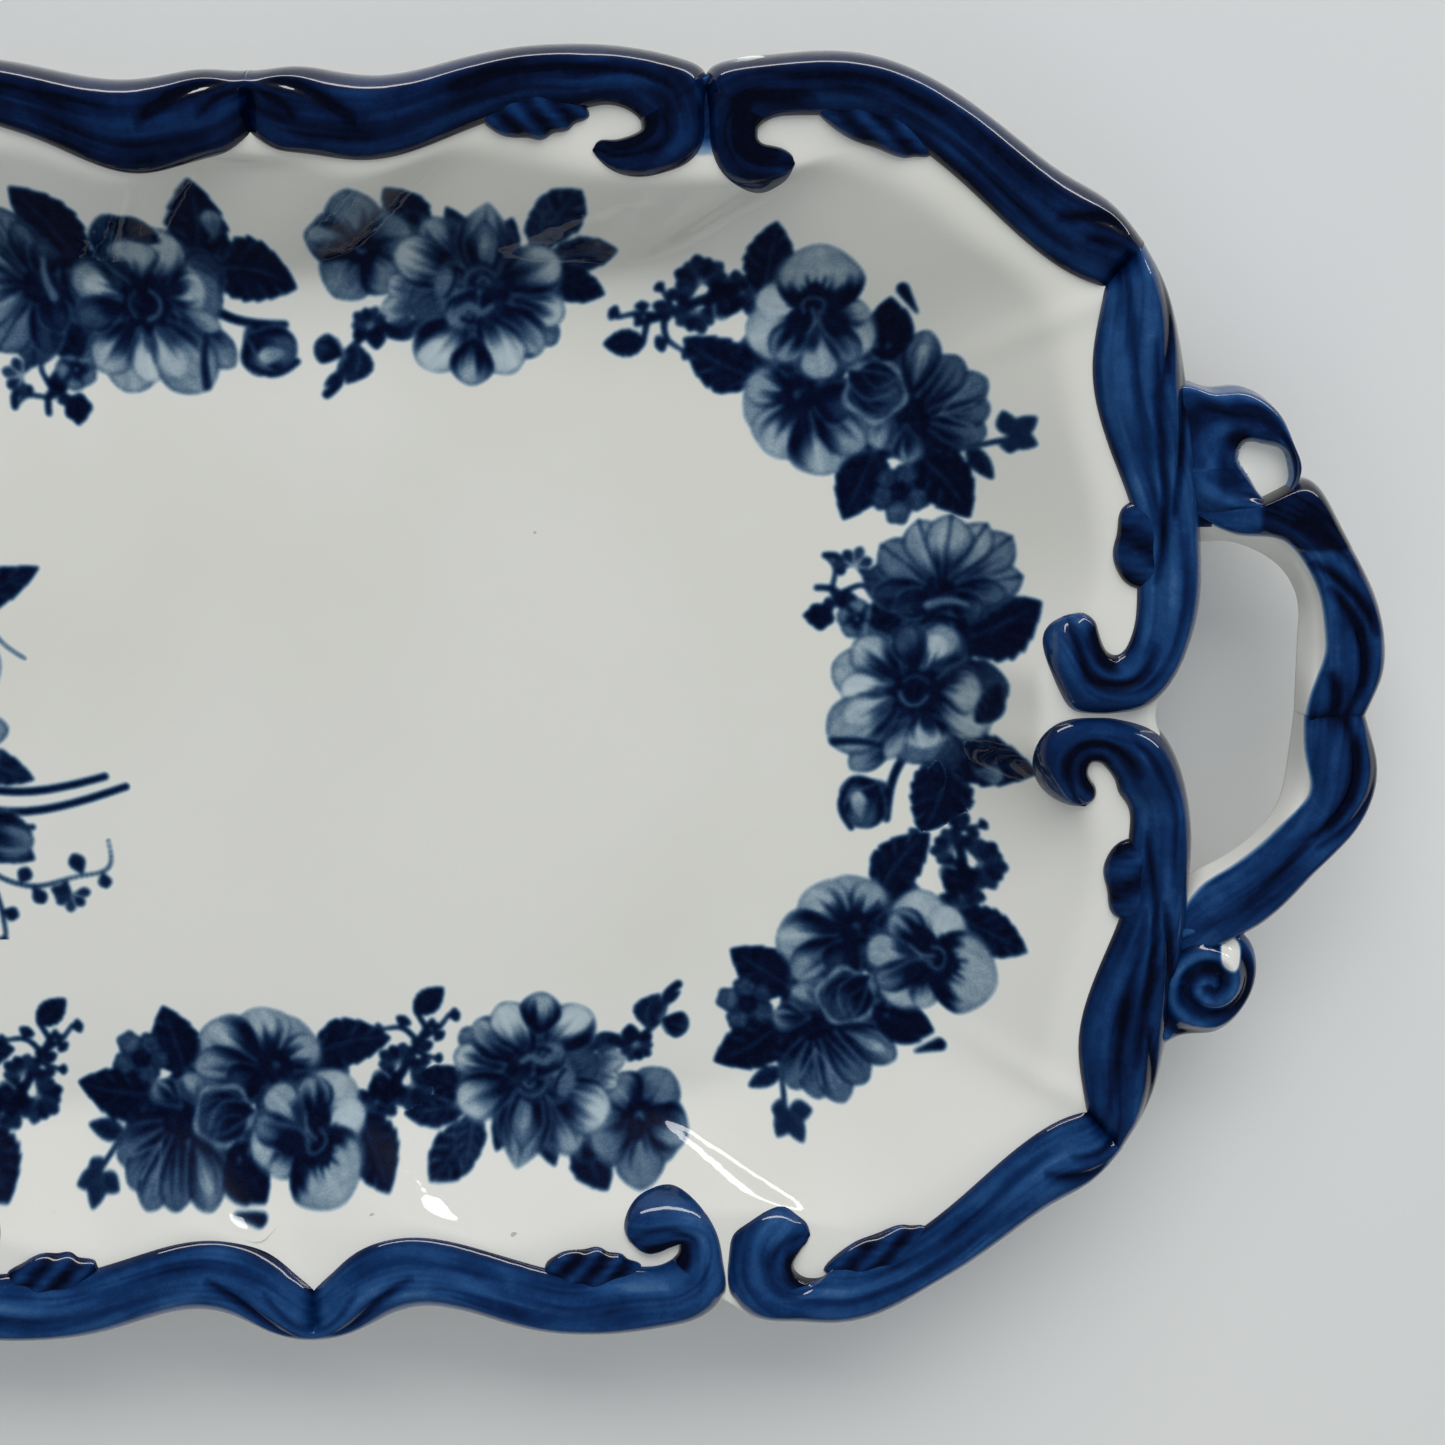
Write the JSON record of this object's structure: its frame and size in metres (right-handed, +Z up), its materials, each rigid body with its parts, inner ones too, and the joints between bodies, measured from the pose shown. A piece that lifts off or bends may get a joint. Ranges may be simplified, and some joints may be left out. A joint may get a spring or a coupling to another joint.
{
  "type": "serving platter",
  "caption": "Long scalloped china serving tray with a flat well, moulded scroll border and two pierced end handles.",
  "frame": {"origin": "middle of the plane that the foot ring stands on, under the middle of the well", "axes": "+X along the platter from handle to handle, +Y across it, +Z up out of the dish"},
  "size_m": [0.495, 0.2108, 0.025],
  "materials": {
    "white_glaze": "clear glossy glaze over warm white earthenware",
    "foot_ceramic": "wiped foot, thinly glazed, slightly rough",
    "cobalt_glaze": "hand-brushed cobalt under a clear glossy glaze",
    "transfer_blue": "printed blue under a clear glossy glaze, soft at its edges"
  },
  "bodies": {
    "root": {"border_centre_scroll_bottom_left": "cobalt_glaze", "border_centre_scroll_bottom_right": "cobalt_glaze", "border_centre_scroll_top_left": "cobalt_glaze", "border_centre_scroll_top_right": "cobalt_glaze", "border_corner_scroll_bottom_left": "cobalt_glaze", "border_corner_scroll_bottom_right": "cobalt_glaze", "border_corner_scroll_top_left": "cobalt_glaze", "border_corner_scroll_top_right": "cobalt_glaze", "border_end_scroll_bottom_left": "cobalt_glaze", "border_end_scroll_bottom_right": "cobalt_glaze", "border_end_scroll_top_left": "cobalt_glaze", "border_end_scroll_top_right": "cobalt_glaze", "border_side_scroll_bottom_left": "cobalt_glaze", "border_side_scroll_bottom_right": "cobalt_glaze", "border_side_scroll_top_left": "cobalt_glaze", "border_side_scroll_top_right": "cobalt_glaze", "foot_ring": "foot_ceramic", "handle_left_lower_bow": "cobalt_glaze", "handle_left_lower_volute": "cobalt_glaze", "handle_left_upper_bow": "cobalt_glaze", "handle_left_upper_volute": "cobalt_glaze", "handle_right_lower_bow": "cobalt_glaze", "handle_right_lower_volute": "cobalt_glaze", "handle_right_upper_bow": "cobalt_glaze", "handle_right_upper_volute": "cobalt_glaze", "leaf_tuft_centres": "cobalt_glaze", "leaf_tuft_corners": "cobalt_glaze", "leaf_tuft_ends": "cobalt_glaze", "leaf_tuft_sides": "cobalt_glaze", "platter_body": "white_glaze", "print_bouquet_centre": "transfer_blue", "print_pansy_bottom_centre": "transfer_blue", "print_pansy_bottom_right": "transfer_blue", "print_pansy_corner_bottom_left": "transfer_blue", "print_pansy_corner_bottom_right": "transfer_blue", "print_pansy_corner_top_left": "transfer_blue", "print_pansy_corner_top_right": "transfer_blue", "print_pansy_top_centre": "transfer_blue", "print_peony_bottom_right": "transfer_blue", "print_peony_top_left": "transfer_blue", "print_peony_top_right": "transfer_blue", "print_rose_bottom_left": "transfer_blue", "print_rose_end_left": "transfer_blue", "print_rose_end_right": "transfer_blue", "print_rose_top_left": "transfer_blue", "print_rose_top_right": "transfer_blue"}
  },
  "joints": []
}
